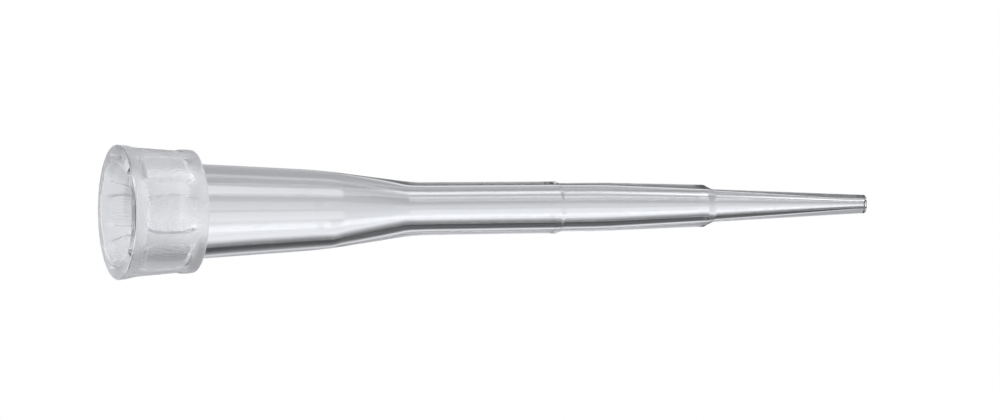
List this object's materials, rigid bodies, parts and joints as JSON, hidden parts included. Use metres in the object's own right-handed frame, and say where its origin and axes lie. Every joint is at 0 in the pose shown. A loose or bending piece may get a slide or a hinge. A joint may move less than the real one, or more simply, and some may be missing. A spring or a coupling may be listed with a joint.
{
  "type": "pipette tip",
  "caption": "Clear plastic tip for a micropipette: a ribbed collar seats on the shaft, and a tapered body steps down to a fine nozzle.",
  "frame": {"origin": "centre of the flat mouth face, which the tip stands on", "axes": "+Z along the axis of the bore, from the mouth to the orifice; +X through the middle of one grip pocket"},
  "size_m": [0.0058, 0.0058, 0.034],
  "materials": {
    "clear_polypropylene": "clear natural polypropylene, polished on the body and the bore, finely frosted on the collar"
  },
  "bodies": {
    "root": {"tip": "clear_polypropylene"}
  },
  "joints": []
}
